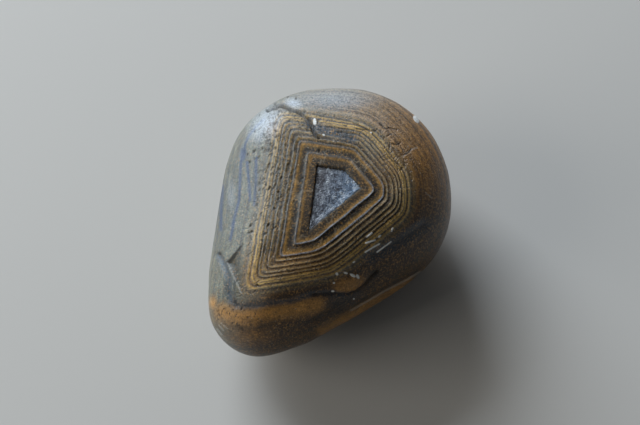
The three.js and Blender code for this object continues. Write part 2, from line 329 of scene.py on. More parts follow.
def face_to_body(place):
    """The point of the smooth body straight out from each place on the face."""
    foot = place[:, :1] * picture_right + place[:, 1:] * picture_up
    near = np.full(len(place), INSIDE)
    far = np.full(len(place), OUTSIDE)
    for _ in range(BODY_HALVINGS):
        out = (near + far) / 2
        points = foot + out[:, None] * picture_out
        inside = np.linalg.norm(points, axis=1) < body_reach(unit(points))
        near = np.where(inside, out, near)
        far = np.where(inside, far, out)
    return foot + near[:, None] * picture_out


print("the crown in mm from the middle:", round(float(read_points(stone)[:, 2].max()), 2))

# %% [markdown]
# The last ring is an edge on the body. Seen from the middle, each point past it lies a certain
# angle beyond that edge, and the angle times the flank's radius carries the count on.

# %% The band number of every point
FLANK_RADIUS = 20.0
EDGE_POINTS = 720

way = unit(read_points(stone))
smooth_body = way * body_reach(way)[:, None]
face_place = on_face(smooth_body)

axis = unit(face_to_body(BAND_MIDDLE[None]))[0]
axis_right = unit(np.cross(picture_up, axis))
axis_up = np.cross(axis, axis_right)


def from_axis(directions):
    """Bearing round the band axis and angle away from it."""
    bearing = np.arctan2(directions @ axis_up, directions @ axis_right)
    return bearing, np.arccos(np.clip(directions @ axis, -1, 1))


edge_angle = np.linspace(-math.pi, math.pi, EDGE_POINTS, endpoint=False)
edge_radius = band_radius(edge_angle, np.full(EDGE_POINTS, LAST_BAND))
edge_place = BAND_MIDDLE + edge_radius[:, None] * np.stack([np.cos(edge_angle), np.sin(edge_angle)], axis=1)
edge_bearing, edge_apart = from_axis(unit(face_to_body(edge_place)))
order = np.argsort(edge_bearing)
bearing, apart = from_axis(way)
last_apart = np.interp(bearing, edge_bearing[order], edge_apart[order], period=2 * math.pi)
beyond = FLANK_RADIUS * (apart - last_apart)
band = np.where(beyond > 0, LAST_BAND + beyond, band_offset(face_place))
print("band number runs from", round(float(band.min()), 1), "to", round(float(band.max()), 1), "mm")

# %% [markdown]
# ## Ledges, ribs and grooves
# The softer layers have worn deeper than the hard ones, so the face is a flight of low steps
# round the pocket: a flat brown tread, a raised rib, a dark groove, the next rib, and so on.
# One list gives the level at each ring, and the points are moved in to it, like sculpting with
# a stencil. Two layers of soft noise bend the rings a little, as real ones are bent.

# %% The level of every ring
# (offset of the ring, level beside the smooth body), both in mm
LEVELS = np.array([
    (-0.10, -2.20), (0.00, -1.02), (0.12, -0.98), (0.50, -0.94), (1.00, -0.89), (1.45, -0.82),
    (1.68, -0.76), (1.83, -0.65), (1.93, -0.66), (2.12, -0.80), (2.45, -0.81), (2.80, -0.75),
    (3.20, -0.65), (3.46, -0.58), (3.61, -0.47), (3.71, -0.48), (3.88, -0.58), (4.00, -0.55),
    (4.20, -0.43), (4.36, -0.34), (4.44, -0.35), (4.62, -0.44), (4.85, -0.38), (5.08, -0.30),
    (5.24, -0.22), (5.32, -0.23), (5.50, -0.34), (5.70, -0.27), (5.88, -0.20), (6.00, -0.14),
    (6.07, -0.15), (6.22, -0.25), (6.36, -0.19), (6.53, -0.09), (6.61, -0.10), (6.78, -0.20),
    (6.98, -0.10), (7.20, -0.05), (7.50, -0.03), (7.60, -0.04), (7.82, -0.10), (8.02, -0.06),
    (8.24, -0.01), (8.42, -0.02), (8.75, -0.06), (9.20, 0.00), (9.60, -0.02), (10.40, 0.00),
])


def smooth_steps(value, stops):
    """Reads a level from a list of stops, easing in and out between them."""
    index = np.clip(np.searchsorted(stops[:, 0], value) - 1, 0, len(stops) - 2)
    low, high = stops[index], stops[index + 1]
    t = np.clip((value - low[:, 0]) / (high[:, 0] - low[:, 0]), 0, 1)
    t = t * t * (3 - 2 * t)
    return low[:, 1] + t * (high[:, 1] - low[:, 1])


def soft_noise(points, wavelength, seed):
    """Smooth noise from -1 to 1 at each point; wavelength in mm."""
    shift = Vector((seed * 17.3, seed * 5.1, seed * 9.7))
    return np.array([noise.noise(Vector(p) / wavelength + shift) for p in points])


print("levels:", len(LEVELS), "stops, lowest", LEVELS[:, 1].min(), "mm")

# %% [markdown]
# Each kind of unevenness is one layer of noise, named by its height and the length of its waves.

# %% Carve the steps
SLOW_WANDER = (0.12, 4.0)  # height and wavelength in mm
QUICK_WANDER = (0.03, 0.9)
RIB_WEAR = (0.35, 2.6)  # share of a rib's height, wavelength
SWELLS = (0.10, 9.0)
BUMPS = (0.035, 2.2)
WORN_RIBS_FROM = 3.9


def wandering(layer, seed):
    """Two rows of noise, for moving points right and up in the picture."""
    height, wavelength = layer
    rows_of_noise = [soft_noise(smooth_body, wavelength, number) for number in (seed, seed + 1)]
    return height * np.stack(rows_of_noise, axis=1)


wander = wandering(SLOW_WANDER, 1)
wander += wandering(QUICK_WANDER, 3)
steady = np.clip((band + 0.2) / 1.5, 0.25, 1)[:, None]
wander = wander * steady
moved_way = unit(smooth_body + wander[:, :1] * picture_right + wander[:, 1:] * picture_up)
step_level = smooth_steps(band, LEVELS)
rib_wear = 1 + RIB_WEAR[0] * soft_noise(smooth_body, RIB_WEAR[1], 5)
step_level = np.where(band > WORN_RIBS_FROM, step_level * rib_wear, step_level)
lumps = SWELLS[0] * soft_noise(smooth_body, SWELLS[1], 6) + BUMPS[0] * soft_noise(smooth_body, BUMPS[1], 7)
lumps = np.where(band > 0, lumps, 0)
level = step_level + lumps
body_distance = body_reach(moved_way)
stepped = moved_way * (body_distance + level)[:, None]
write_points(stone, stepped)
print("steps carved: levels from", round(float(level.min()), 2), "to", round(float(level.max()), 2), "mm")

# %% [markdown]
# ## Marks that are named by where they show
# Cracks, chips, stains and flecks are single events, not a pattern, so each one is placed one by one.
# A mark is drawn as an oval or as a line through a few points of the picture. Its strength is 1 in
# the middle, 0 at its edge and below 0 outside, so that a material can cut it off cleanly. Only
# points that look towards the camera take a mark, so nothing prints through to the underside.

# %% Drawing marks on the stone
def read_normals(thing):
    values = np.empty(len(thing.data.vertices) * 3)
    thing.data.vertices.foreach_get("normal", values)
    return values.reshape(-1, 3)


normals = read_normals(stone)
front = np.clip(normals @ picture_out * 4 + 0.6, 0, 1)
seen = in_picture(stepped)


def oval(x, y, half_length, half_width, tilt=0.0):
    """An oval mark; tilt in degrees, clockwise from pointing right in the picture."""
    turn = math.radians(tilt)
    along = ((seen[:, 0] - x) * math.cos(turn) + (seen[:, 1] - y) * math.sin(turn)) / half_length
    across = ((seen[:, 1] - y) * math.cos(turn) - (seen[:, 0] - x) * math.sin(turn)) / half_width
    return np.clip(1 - np.hypot(along, across), -1, 1)


def stroke(points, half_width):
    """A line mark through points of the picture."""
    nearest = np.full(len(seen), 1e9)
    for start, end in zip(points[:-1], points[1:]):
        start, end = np.array(start), np.array(end)
        run = end - start
        share = np.clip((seen - start) @ run / (run @ run), 0, 1)
        nearest = np.minimum(nearest, np.linalg.norm(seen - start - share[:, None] * run, axis=1))
    return np.clip(1 - nearest / half_width, -1, 1)


def strokes(lines, half_width):
    return strongest([stroke(line, half_width) for line in lines])


def strongest(marks):
    return np.max(marks, axis=0)


def soft(mark):
    """A mark as a soft weight from 0 to 1."""
    inside = np.clip(mark, 0, 1)
    return inside * inside * (3 - 2 * inside)


def shown(mark):
    """A soft weight on the side that looks at the camera."""
    return soft(mark) * front


print("points that look towards the camera:", int((front > 0.5).sum()))

# %% [markdown]
# Every list below holds places in the photograph's frame. A line is a list of points. An oval is
# its middle, half its length, half its width and its tilt.

# %% Where the marks are
FISSURE = [(268, 110), (274, 107), (281.6, 105.6), (290.8, 108.7), (298.5, 111.7), (306, 117.3),
           (310.7, 121.4), (312.2, 126.5), (314.3, 132.7), (318.4, 137.2)]
SCAR = [(309, 122), (318, 127), (330, 131), (343, 134), (352, 138)]
SCAR_ENDS = [(320, 126, 8, 5, 25), (346, 136, 8, 4, 25)]
LENS_ON_LEFT = (243, 154, 8, 3.2, 97)
LEFT_LEDGE = [(264, 119), (256, 126), (249, 135), (245, 143), (243, 152)]
BLUE_LINES = [[(241, 160), (240, 180), (239, 200), (232, 226)], [(247, 162), (249, 183), (250, 200)],
              [(223, 186), (221, 208), (221, 230)], [(234, 222), (230, 240)],
              [(256, 158), (256, 178), (254, 205)]]
NOTCH = [(377.5, 271), (363.8, 285), (356, 291), (347.5, 294.4), (332.5, 293.8), (312.5, 295)]
NOTCH_FOOT = [(345, 306), (336, 312), (322.5, 315), (316, 319)]
NOTCH_HOLLOW = (338, 304, 22, 7, -18)
NOTCH_SHADOW = [(376, 272), (365, 286), (350, 300)]
LOBE = (350, 284, 20, 9, -12)
CREASE = [(420.6, 271.9), (407.5, 280), (385, 291.3), (366.3, 302.5), (351, 311)]
BOUNCE_LIT_STRIP = [(412, 283), (397.5, 290), (366, 307.5), (322.5, 331)]
CHIP_TOP = [(226.9, 263.1), (238.8, 249.4), (242.5, 244.4)]
CHIP_FOOT = [(226.9, 263.1), (233.8, 277.5), (241.3, 293.1)]
CHIP_LENGTH = 14.0
CHIP_EDGE_WIDTH = 1.5
DARK_SPOTS = [(233.8, 266.3, 3, 3), (219.8, 254.4, 3, 3)]
CHANNEL = [(218.8, 256), (225, 267.5), (228.8, 280), (228, 290), (230, 300), (236, 306)]
DARK_STREAK = [(236, 306), (259, 306), (270, 303), (292, 301), (311, 294), (330, 293), (344, 295)]
DARK_SEAM = [(231, 326), (255, 329), (275, 322)]
ORANGE_BAND = [(222, 312), (240, 316), (262, 315), (290, 309), (317, 305)]
BLUE_STREAK = [(370, 257), (390, 247), (408, 236), (424, 225)]
CRACKS = [
    [(319.5, 115.6), (351.7, 121.5), (368, 129.3), (375.5, 131.7)], [(357, 128.7), (377, 130.7)],
    [(380, 124), (386, 128.7), (390, 128), (397.3, 130)], [(384, 138), (389.3, 134.7)],
    [(389.3, 150), (390, 144), (398.7, 144.7), (400.7, 142)],
    [(398.7, 150.7), (402.7, 155.3), (408, 153.3), (412, 148.7)],
    [(400.7, 170), (405.3, 164.7), (404, 159.3)], [(388, 156), (393.3, 160.7), (398.7, 164.7)],
]

WHITE_FLECKS = [
    (416, 119.5, 4.8, 2.6, 55), (314.6, 121, 3.2, 2.0, 80), (323.7, 135, 1.8, 1.3, 60),
    (353.8, 261.9, 1.8, 1.0, -30), (336.9, 273.8, 2.2, 1.5, 60), (345.6, 272.8, 3.0, 1.3, 15),
    (352.5, 275, 3.6, 1.5, 25), (357.5, 276, 2.6, 1.6, 60), (333.8, 282.5, 1.6, 1.1, 0),
    (332.8, 291, 1.9, 1.6, 0), (353.8, 298.8, 1.2, 1.0, 0), (379.4, 236.3, 2.4, 1.2, -40),
    (360.6, 230, 1.2, 0.9, 0), (371, 133, 1.4, 0.8, 20),
]
WHITE_STREAKS = [
    [(366.9, 236.9), (371.9, 233.1)], [(365.6, 243.1), (375, 240)], [(372.5, 247.5), (379.4, 243.8)],
    [(377.5, 252.5), (391.3, 241.9)], [(391.3, 231.3), (392.5, 228.1)], [(365.2, 252), (372, 248)],
]
PALE_LINES = [
    CHIP_FOOT, [(403.3, 158), (405.3, 154), (412, 149.3), (417.3, 147.3)], [(425.3, 192.7), (432, 198)],
    [(219, 325), (224, 331)], [(221, 323), (228, 329)], [(217, 329), (222, 335)], CREASE,
]
print("marks:", len(CRACKS), "cracks,", len(WHITE_FLECKS) + len(WHITE_STREAKS), "white flecks and streaks")

# %% [markdown]
# Each mark is drawn once, and its strength is kept under a name, because the carving and the
# colours both need it. The sum below gives how many millimetres each one is cut in. What stands
# out, such as the lobe, is cut by less than nothing.

# %% Carve the marks
fissure = stroke(FISSURE, 2.6)
scar = strongest([stroke(SCAR, 5.5)] + [oval(*end) for end in SCAR_ENDS])
ledge = stroke(LEFT_LEDGE, 4.0)
lens = oval(*LENS_ON_LEFT)
notch = strongest([stroke(NOTCH_FOOT, 6.0), oval(*NOTCH_HOLLOW)])
undercut = stroke(NOTCH, 2.4)
# A broken facet between two edges that meet in a V
CHIP_SIDES = [(0.77, 0.64), (0.90, -0.43)]
from_apex = seen - np.array(CHIP_TOP[0])
inside_chip = np.min([from_apex @ np.array(side) for side in CHIP_SIDES], axis=0)
chip = np.clip(inside_chip / CHIP_EDGE_WIDTH, 0, 1) * np.clip(1.2 - from_apex[:, 0] / CHIP_LENGTH, 0, 1)
lobe = oval(*LOBE)
crease = stroke(CREASE, 2.6)
streak = stroke(BLUE_STREAK, 8)
flecks = strongest([oval(*fleck) for fleck in WHITE_FLECKS] + [stroke(line, 1.0) for line in WHITE_STREAKS])
rough = soft_noise(stepped, 0.5, 8)

carved = (
    0.80 * soft(fissure)
    + (0.26 + 0.12 * rough) * soft(scar + 0.25)
    + 0.10 * soft(ledge) + 0.12 * soft(lens)
    + 0.30 * soft(notch) + 0.34 * soft(undercut)
    + 0.50 * chip
    - 0.35 * soft(lobe + 0.2)
    + 0.12 * soft(crease)
    + 0.25 * soft(streak)
    + 0.28 * soft(stroke(CHANNEL, 4.5))
    + 0.09 * soft(strokes(CRACKS, 1.3))
    + 0.03 * soft(strokes(BLUE_LINES, 3.0))
    - 0.12 * soft(flecks + 0.3)
)
print("marks cut: deepest", round(float(carved.max()), 2), "mm")

# %% [markdown]
# Small pits lie thickest along the left and upper bands, and all slant the same way. They are
# scattered at random round one place. A random generator with a set seed gives the same each run.

# %% Scatter the slanted pits
PIT_COUNT = 150
PIT_MIDDLE = (275, 158)
PIT_SPREAD = (16, 38)
PIT_SLANT = (118, 22)  # middle and spread, in degrees
PIT_DEPTH = 0.11  # mm for each pixel of half width
PITS_FROM = 2.0  # ring where they start
pit_random = np.random.default_rng(5)
pit_depth = np.zeros(len(seen))
for _ in range(PIT_COUNT):
    x = pit_random.normal(PIT_MIDDLE[0], PIT_SPREAD[0])
    y = pit_random.normal(PIT_MIDDLE[1], PIT_SPREAD[1])
    size = pit_random.uniform(0.8, 1.8)
    pit = oval(x, y, size * pit_random.uniform(1.3, 2.4), size, pit_random.normal(*PIT_SLANT))
    pit_depth = np.maximum(pit_depth, soft(pit) * size * PIT_DEPTH)
pit_depth = np.where(band > PITS_FROM, pit_depth, 0)
carved = (carved + pit_depth) * front

carved_points = moved_way * (body_distance + level - carved)[:, None]
carved_points[:, 2] = np.maximum(carved_points[:, 2], -DROP)
carved_points[smooth_body[:, 2] <= -DROP + 0.001, 2] = -DROP
write_points(stone, carved_points)
print("marks and pits carved: deepest", round(float(carved.max()), 2), "mm")

# %% [markdown]
# ## Telling the material where things are
# A material can't see the rings or the marks, so each is stored on the stone's points as a named
# attribute: one number per point, which the material reads back with an Attribute node.

# %% Places round the rings, and treads between the ribs
def store(thing, name, values):
    """Stores one number, or one vector, for every point of an object."""
    kind, key = ("FLOAT", "value") if values.ndim == 1 else ("FLOAT_VECTOR", "vector")
    layer = thing.data.attributes.new(name, kind, "POINT")
    layer.data.foreach_set(key, np.ravel(values).astype(np.float32))


# Ring place: round the bands, across them
RING_RADIUS = 7.0
around = np.arctan2(face_place[:, 1] - BAND_MIDDLE[1], face_place[:, 0] - BAND_MIDDLE[0])
ring_place = np.stack([RING_RADIUS * np.cos(around), RING_RADIUS * np.sin(around), band], axis=1)

# Recess: how far a tread or groove lies below the crests on both sides of it
CRESTS = np.array([(0.0, -0.86), (1.9, -0.59), (3.66, -0.41), (4.4, -0.30), (5.28, -0.19), (6.0, -0.11),
                   (7.5, 0.04), (9.2, 0.02)])
GROOVE_DEPTH = 0.2  # below the crests by this much, a place counts as fully recessed
INNER_TREAD = 1.6  # all of the first tread is recessed
recess = np.clip((np.interp(band, CRESTS[:, 0], CRESTS[:, 1]) - step_level) / GROOVE_DEPTH, 0, 1)
recess = np.maximum(recess, band < INNER_TREAD) * np.interp(band, [4.0, 7.0, 9.2], [1.0, 0.35, 0.0])
print("share of points in a recess:", round(float((recess > 0.5).mean()), 2))

# %% [markdown]
# Colour changes slowly over the stone as well. Some of that follows the way the surface faces:
# olive grey on the left, partly painted sheen of the window; ochre on the right and umber towards
# the foot, both partly painted shade of the sides that face away from it. The rest are stains, each
# a soft oval, or a wider copy of a mark that was carved above, apart from a few ovals of painted
# sheen, a painted strip of warm reflected light and painted shade in the carved hollows and cracks.

# %% Where the stains and the painted sheen are
# (oval, strength) of each stain
COOL_STAINS = [((330, 103, 60, 12), 0.5), ((228, 180, 27, 80, 3), 0.3), ((217, 218, 12, 50), 0.5),
               ((345, 300, 30, 10, -20), 0.6)]
WARM_STAINS = [((213, 303, 7, 12), 1.0), ((395, 165, 30, 40, 20), 0.35), ((252, 276, 13, 26), 0.3),
               ((250, 335, 40, 16), 0.4), ((300, 264, 60, 26, -8), 0.4), ((240, 318, 44, 20, 5), 0.75),
               ((272, 128, 16, 14), 0.3)]
# Painted sheen: pale blue highlights of the window, stored as the pale attribute
PAINTED_SHEEN_OVALS = [((266, 123, 32, 20, -50), 1.0), ((294, 103, 15, 9, 10), 1.0), ((231, 195, 7, 26), 0.3),
              ((335, 98, 70, 16), 0.5)]
PITTED_AREAS = [((279, 165, 29, 80, 8), 1.0), ((300, 125, 44, 24), 1.0), ((240, 318, 40, 26), 1.0)]
CRAZED_AREA = [((392, 160, 42, 52, 20), 1.0)]
# The left rings are greyed partly by their own blue-grey layers and partly by painted sheen of the window
GREY_AND_SHEEN_RINGS = [((262, 175, 34, 80), 1.0)]
GREY_ENDS = (225, 30)  # the left rings turn golden below this height, over this many pixels
# Painted highlight on the risers: the way the side of the pocket that catches the window faces
WINDOW_LIT_FACING = math.radians(28)


def stains(weighted):
    """The strongest of several soft ovals on the side that looks at the camera."""
    return strongest([shown(oval(*numbers)) * weight for numbers, weight in weighted])


print("stains:", len(COOL_STAINS), "cool,", len(WARM_STAINS), "warm")

# %% Store the marks, the stains and the painted light and shade
white = np.maximum(flecks, np.minimum(strokes(PALE_LINES, 1.1), 0.05))
white = np.where(front > 0.5, white, -1)

# Tints by facing: grey on the left, partly painted sheen; ochre on the right and umber at the foot, partly
# painted shade, as those sides face away from the window
leftward_grey_and_sheen = np.clip(-normals[:, 0] * 1.5 + 0.1 + 0.7 * stains(GREY_AND_SHEEN_RINGS), 0, 1)
golden = np.clip((seen[:, 1] - GREY_ENDS[0]) / GREY_ENDS[1], 0, 1)
leftward_grey_and_sheen *= 1 - 0.85 * golden * np.clip(LAST_BAND - 0.1 - band, 0, 1)
rightward_ochre_and_shade = np.clip(normals[:, 0] * 1.3 - normals[:, 1] * 0.5 + 0.25, 0, 1)
footward_umber_and_shade = np.clip(-normals[:, 1] * 1.5 + normals[:, 0] * 0.7 - 0.15, 0, 1)
cool = strongest([
    shown(scar + 0.3), shown(streak + 0.3) * 0.9,
    shown(stroke(CHANNEL, 6)), shown(stroke(DARK_STREAK, 5)) * 0.9, stains(COOL_STAINS),
])
# Warm: orange stains, and a painted strip of warm reflected light along the lower edge
warm = strongest([
    shown(stroke(ORANGE_BAND, 15)), shown(lobe + 0.3) * 0.8,
    shown(stroke(BOUNCE_LIT_STRIP, 9)) * 0.7, stains(WARM_STAINS),
])
blue = strongest([soft(strokes(BLUE_LINES, 2.4)), soft(lens + 0.45), soft(stroke(LEFT_LEDGE, 2.2))]) * front
# Painted highlight: the inner risers catch the window on the side of the pocket that faces down the picture
window_lit_risers = np.clip(-np.sin(around - WINDOW_LIT_FACING) * 2.2 - 0.35, 0, 1)
window_lit_risers = window_lit_risers * np.clip(0.75 + 0.6 * soft_noise(smooth_body, 1.2, 9), 0, 1)
# Dark: real dark stains, spots and seams, and painted shade in the notch and under the lobe, in the
# fissure, cracks and pits, and along the crease
dark = strongest([
    shown(notch) * 0.8, shown(stroke(NOTCH_SHADOW, 8)) * 0.8, shown(undercut),
    shown(stroke(FISSURE, 3.0)), shown(lens) * 0.3,
    strongest([oval(*spot) for spot in DARK_SPOTS]).clip(0, 1),
    shown(stroke(CHIP_TOP, 2.0)), shown(stroke(DARK_SEAM, 4)) * 0.6,
    shown(strokes(CRACKS, 1.1)) * 0.9,
    shown(stroke([(x - 1, y - 3) for x, y in CREASE], 2.0)) * 0.6,
    shown(stroke(DARK_STREAK, 3)) * 0.5, shown(streak - 0.3) * 0.7, pit_depth * 6,
])
pitted = np.clip(1.7 * stains(PITTED_AREAS), 0, 1)
for name, values in (
        ("band", band), ("ring_place", ring_place), ("recess", recess), ("cool", cool), ("warm", warm),
        ("olive", chip ** 0.5), ("pale", stains(PAINTED_SHEEN_OVALS)), ("dark", dark), ("white", white),
        ("blue", blue), ("window_lit_risers", window_lit_risers), ("leftward_grey_and_sheen", leftward_grey_and_sheen), ("rightward_ochre_and_shade", rightward_ochre_and_shade),
        ("footward_umber_and_shade", footward_umber_and_shade), ("pitted", pitted), ("crazed", stains(CRAZED_AREA))):
    store(stone, name, values)
print("attributes:", [layer.name for layer in stone.data.attributes if not layer.name.startswith(".")])

# %% [markdown]
# ## Helpers for the finishes
# Colours are written as the hex values that a painter's program shows, and Blender wants linear
# numbers, so one function turns them. Another adds a node, sets it and links it, which keeps each
# finish readable as a list of steps.

# %% Colour and node helpers
def colour(hex_value):
    """A hex colour as linear red, green, blue and alpha."""
    parts = [int(hex_value[i:i + 2], 16) / 255 for i in (1, 3, 5)]
    linear = [v / 12.92 if v <= 0.04045 else ((v + 0.055) / 1.055) ** 2.4 for v in parts]
    return (*linear, 1.0)


def add_node(tree, kind, inputs, **settings):
    """Adds a node, sets it, and fills its inputs with values or with other nodes' outputs."""
    node = tree.nodes.new(kind)
    for name, value in settings.items():
        setattr(node, name, value)
    for name, value in inputs.items():
        socket = node.inputs[name]
        if isinstance(value, bpy.types.NodeSocket):
            tree.links.new(value, socket)
        else:
            socket.default_value = value
    return node


def fill_ramp(node, stops):
    """Gives a colour ramp its stops, as (place from 0 to 1, hex colour)."""
    stops = sorted(stops)
    elements = node.color_ramp.elements
    while len(elements) < len(stops):
        elements.new(1.0)
    for element, (place, hex_value) in zip(elements, stops):
        element.position = place
        element.color = colour(hex_value)
    return node


def new_material(name):
    material = bpy.data.materials.new(name)
    material.use_nodes = True
    material.node_tree.nodes.clear()
    return material, material.node_tree


def calculate(operation, *numbers, held=True):
    """A Math node on numbers or outputs, held between 0 and 1 unless told otherwise."""
    return add_node(tree, "ShaderNodeMath", dict(enumerate(numbers)), operation=operation,
                    use_clamp=held).outputs[0]


def times(*numbers):
    return calculate("MULTIPLY", *numbers)


def rescale(number, low, high, new_low=0.0, new_high=1.0):
    """Maps low..high to new_low..new_high, and holds the result between them."""
    return add_node(tree, "ShaderNodeMapRange", {
        "Value": number, "From Min": low, "From Max": high,
        "To Min": new_low, "To Max": new_high}).outputs[0]


def mix(share, first, second, blend_type="MIX"):
    """In a colour Mix node, input 0 is the share, 6 and 7 are the colours and output 2 is the result."""
    return add_node(tree, "ShaderNodeMix", {0: share, 6: first, 7: second}, data_type="RGBA",
                    blend_type=blend_type).outputs[2]


def marked(name, output="Fac"):
    """A number or vector that was stored on the stone's points."""
    return add_node(tree, "ShaderNodeAttribute", {}, attribute_name=name).outputs[output]


def stretched(vector, x, y, z):
    """A vector divided by a size in mm along each of its axes."""
    return add_node(tree, "ShaderNodeVectorMath", {0: vector, 1: (1 / x, 1 / y, 1 / z)},
                    operation="MULTIPLY").outputs[0]


def grains(vector, detail=3.0, roughness=0.6):
    """Noise from 0 to 1 with grains one unit across."""
    return add_node(tree, "ShaderNodeTexNoise", {
        "Vector": vector, "Scale": 1.0, "Detail": detail, "Roughness": roughness}).outputs["Fac"]


print("gold layer in linear light:", [round(v, 3) for v in colour("#997638")])

# %% [markdown]
# ## Banded agate with a waxy polish
# Agate is very fine quartz, so it has quartz's gloss, but wear in water leaves it satin rather
# than glassy. Iron stains the layers ochre, tan and umber; the clean ones stay blue-grey.
# The rings are read from two colour ramps along the band number. Further out the layers blur, so
# they come from one-dimensional noise along the same number, tinted by region.

# %% The colours of the rings
HALF_SPAN = 5.0  # mm of rings on one ramp, because a ramp holds 32 colours
# (offset of the ring in mm, colour)
INNER_BANDS = [
    (0.00, "#33291a"), (0.50, "#3d2f1b"), (0.95, "#3f311c"), (1.20, "#664c24"), (1.42, "#9c7230"),
    (1.62, "#98784a"), (1.74, "#75695a"), (1.84, "#625c53"), (1.94, "#46413a"), (2.05, "#3a3733"),
    (2.45, "#2c2721"), (2.75, "#3c3120"), (3.00, "#735a29"), (3.28, "#b08036"), (3.44, "#98794a"),
    (3.54, "#756b5c"), (3.64, "#5f5a51"), (3.74, "#443f38"), (3.90, "#332e26"), (4.02, "#54462c"),
    (4.18, "#9d7a3c"), (4.30, "#8f8469"), (4.42, "#4a453d"), (4.60, "#393226"), (4.85, "#44392a"),
    (5.00, "#715d38"),
]
OUTER_BANDS = [
    (5.00, "#715d38"), (5.12, "#9c7f42"), (5.24, "#7c7868"), (5.38, "#3d3a34"), (5.60, "#403a30"),
    (5.78, "#8c6f32"), (5.92, "#8f8160"), (6.08, "#3c3a35"), (6.25, "#454035"), (6.42, "#96793e"),
    (6.54, "#827a64"), (6.68, "#3b3933"), (6.84, "#454033"), (7.02, "#ad8b42"), (7.16, "#b89856"),
    (7.28, "#57564f"), (7.44, "#cca650"), (7.58, "#b59a62"), (7.74, "#4a4943"), (7.90, "#575347"),
    (8.12, "#b99651"), (8.28, "#978b68"), (8.55, "#53524c"), (8.75, "#5a564a"), (9.05, "#8f7a4c"),
    (9.30, "#68655a"), (9.60, "#7d6f52"), (10.00, "#7a6c50"),
]
print("ring colours:", len(INNER_BANDS) + len(OUTER_BANDS))

# %% Material: water-worn banded agate, its rings
agate, tree = new_material("banded_agate_waxed")
place = add_node(tree, "ShaderNodeTexCoord", {}).outputs["Object"]
place_mm = stretched(place, MM, MM, MM)
ring = marked("ring_place", "Vector")
band_number = marked("band")

# The layers' edges are ragged, as fibres of one layer reach into the next
ragged = grains(stretched(ring, 0.16, 0.16, 0.5), 2.0)
waved = grains(stretched(place_mm, 0.9, 0.9, 0.9), 2.0)
edge_shift = calculate("MULTIPLY_ADD", ragged, 0.26, band_number, held=False)
edge_shift = calculate("MULTIPLY_ADD", waved, 0.16, edge_shift, held=False)
edge_shift = calculate("SUBTRACT", edge_shift, 0.21, held=False)


def band_colours(low, bands):
    """The colours of one half of the rings, read along the band number."""
    ramp = add_node(tree, "ShaderNodeValToRGB", {"Fac": rescale(edge_shift, low, low + HALF_SPAN)})
    stops = [((offset - low) / HALF_SPAN, hex_value) for offset, hex_value in bands]
    return fill_ramp(ramp, stops).outputs[0]


def cell_edges(vector):
    """Distance to the nearest edge between irregular cells one unit across, for cracks."""
    return add_node(tree, "ShaderNodeTexVoronoi", {"Vector": vector, "Scale": 1.0},
                    feature="DISTANCE_TO_EDGE").outputs["Distance"]


in_outer_half = calculate("GREATER_THAN", edge_shift, HALF_SPAN)
inner = mix(in_outer_half, band_colours(0.0, INNER_BANDS), band_colours(HALF_SPAN, OUTER_BANDS))
# Painted highlight: the two inner risers below the pocket catch the window as a thin blue-grey line
riser_highlight = fill_ramp(add_node(tree, "ShaderNodeValToRGB", {"Fac": rescale(edge_shift, 0.0, HALF_SPAN)}), [
    (1.66 / HALF_SPAN, "#000000"), (1.74 / HALF_SPAN, "#ffffff"), (1.85 / HALF_SPAN, "#ffffff"),
    (1.95 / HALF_SPAN, "#000000"), (3.46 / HALF_SPAN, "#000000"), (3.54 / HALF_SPAN, "#ffffff"),
    (3.66 / HALF_SPAN, "#ffffff"), (3.76 / HALF_SPAN, "#000000")]).outputs[0]
inner = mix(times(riser_highlight, marked("window_lit_risers")), inner, colour("#8494a6"))
print("nodes so far:", len(tree.nodes))

# %% [markdown]
# ### Layers of the flank
# Each side has a dark and a light colour, and one striped noise chooses between them. The stripes
# run along the band number. The sides are then mixed by the weights that were stored.

# %% Outer layers and stains
broad = add_node(tree, "ShaderNodeTexNoise", {
    "W": edge_shift, "Scale": 0.8, "Detail": 5.0, "Roughness": 0.72}, noise_dimensions="1D").outputs["Fac"]
stripe = rescale(broad, 0.40, 0.58)
# The top's neutral grey is partly painted sheen of the window; the right's ochre and the foot's deep umber
# are partly painted shade
# The top comes first, and the sides are mixed over it:
# (where it shows, colour of its dark layers, colour of its light ones)
outer = mix(stripe, colour("#5f594e"), colour("#98907e"))
for side, dark_layer, light_layer in (
        ("leftward_grey_and_sheen", "#3a4243", "#777860"), ("rightward_ochre_and_shade", "#5e3b0e", "#ab7218"),
        ("footward_umber_and_shade", "#1a0f05", "#3d260c")):
    outer = mix(marked(side), outer, mix(stripe, colour(dark_layer), colour(light_layer)))
layers = mix(rescale(edge_shift, 8.4, 9.8), inner, outer)

# Stains that cross the layers: grey, iron orange, olive and blue-grey. The grey on the left is partly
# painted sheen, and the orange holds a painted strip of warm reflected light along the lower edge.
for stain, strength, hex_value in (
        ("leftward_grey_and_sheen", 0.46, "#666e6b"), ("warm", 0.7, "#cc923f"), ("olive", 0.9, "#22271b"),
        ("cool", 0.8, "#374b5a")):
    layers = mix(times(marked(stain), strength), layers, colour(hex_value))
print("nodes so far:", len(tree.nodes))

# %% [markdown]
# ### Grain
# Close up, the layers are a mass of tiny fibres and sandy grains, some golden and some dark, with
# blotches and soft clouds over them. The sizes given to `stretched` are real ones, in mm.

